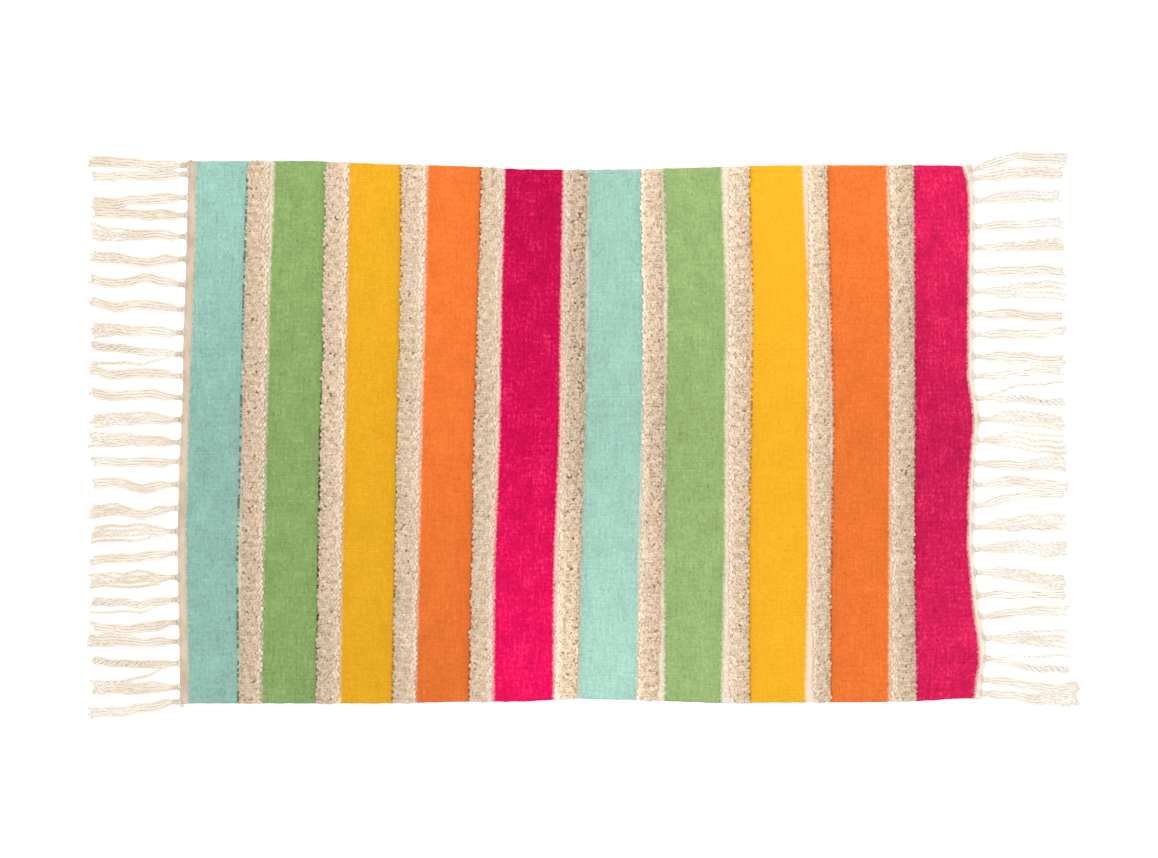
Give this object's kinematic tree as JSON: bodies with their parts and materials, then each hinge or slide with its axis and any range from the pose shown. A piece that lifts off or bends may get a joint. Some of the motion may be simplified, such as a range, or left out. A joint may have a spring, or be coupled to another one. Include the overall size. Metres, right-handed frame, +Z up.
{
  "type": "tufted rug",
  "caption": "Flat-woven cotton rug with crosswise colour stripes, raised bands of cut cream pile and a knotted tassel fringe at each end, lying flat.",
  "frame": {"origin": "under the middle of the whole rug, fringes included, on the floor it lies on", "axes": "+X along the length from the left fringe to the right one, +Y across to the back selvedge, +Z up off the floor"},
  "size_m": [1.121, 0.634, 0.0134],
  "materials": {
    "striped_cotton": "weft-faced matt cotton in five stripe colours",
    "cream_pile": "cut cotton pile, matt",
    "natural_warp": "undyed plied cotton yarn, matt"
  },
  "bodies": {
    "root": {"ground": "striped_cotton", "pile_band_1": "cream_pile", "pile_band_2": "cream_pile", "pile_band_3": "cream_pile", "pile_band_4": "cream_pile", "pile_band_5": "cream_pile", "pile_band_6": "cream_pile", "pile_band_7": "cream_pile", "pile_band_8": "cream_pile", "pile_band_9": "cream_pile", "fringe_left": "natural_warp", "fringe_right": "natural_warp"}
  },
  "joints": []
}
